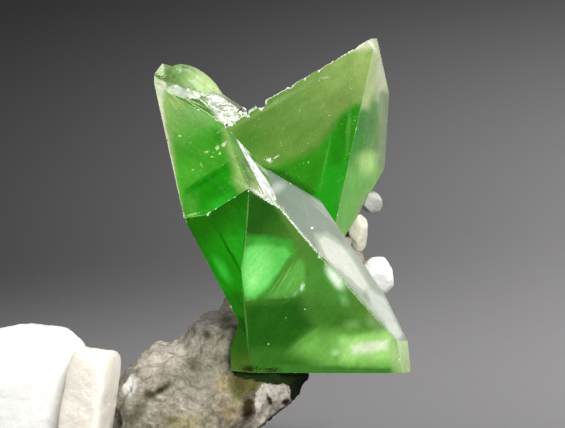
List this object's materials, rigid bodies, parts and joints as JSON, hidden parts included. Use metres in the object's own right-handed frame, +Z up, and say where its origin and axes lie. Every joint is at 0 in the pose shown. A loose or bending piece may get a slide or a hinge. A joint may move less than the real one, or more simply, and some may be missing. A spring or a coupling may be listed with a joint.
{
  "type": "titanite crystal",
  "caption": "Twinned, wedge-shaped transparent green crystal standing in a V on a broken lump of speckled rock with pale feldspar crystals.",
  "frame": {"origin": "centre of the specimen's bounding box at the flat underside", "axes": "+Z up, +X to the right along the specimen, front towards -Y"},
  "size_m": [0.0362, 0.0184, 0.0334],
  "materials": {
    "titanite": "transparent green, bright facets, frosted chipped edges",
    "rock": "rough broken grainy rock, grey and white speckled",
    "feldspar": "pale, slightly waxy crystal faces"
  },
  "bodies": {
    "root": {"titanite_crystal": "titanite", "matrix_rock": "rock", "feldspar_crystal_large": "feldspar", "feldspar_crystal_small": "feldspar", "feldspar_bead_upper": "feldspar", "feldspar_bead_middle": "feldspar", "feldspar_bead_lower": "feldspar"}
  },
  "joints": []
}
